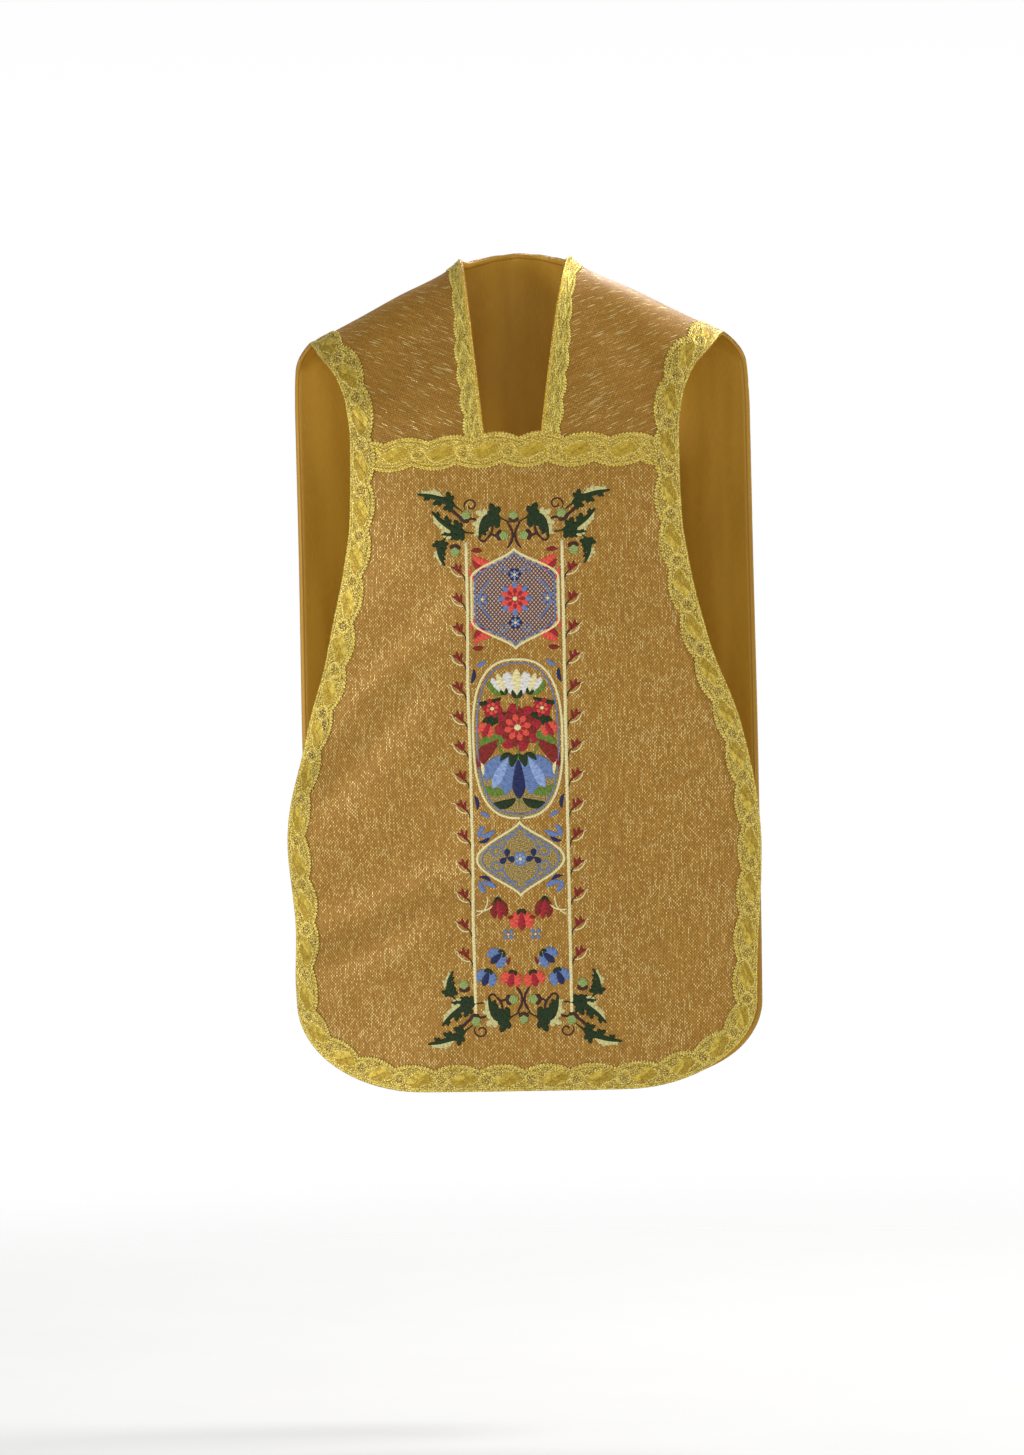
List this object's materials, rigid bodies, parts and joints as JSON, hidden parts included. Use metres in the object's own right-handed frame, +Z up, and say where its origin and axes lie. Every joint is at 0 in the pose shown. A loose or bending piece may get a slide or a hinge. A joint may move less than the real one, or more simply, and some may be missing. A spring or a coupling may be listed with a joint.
{
  "type": "roman chasuble",
  "caption": "Fiddleback chasuble of gold lamé brocade with a satin lining, lace edging and an embroidered front column, hanging hollow as it is worn",
  "frame": {"origin": "midway between the two points where the shoulders meet the neck opening, where the wearer holds the garment up", "axes": "+Z up, -Y towards the front, +X towards a viewer's right as the front is seen"},
  "size_m": [0.5972, 0.275, 1.0756],
  "materials": {
    "brocade": "brown-gold lamé brocade with short pale gold slubs",
    "lining": "plain golden satin",
    "gold_lace": "metallic gold lace galloon"
  },
  "bodies": {
    "root": {"front_panel": "brocade", "back_panel": "brocade", "front_lining": "lining", "back_lining": "lining", "chest_band": "gold_lace", "neck_lace": "gold_lace", "edge_lace": "gold_lace"}
  },
  "joints": []
}
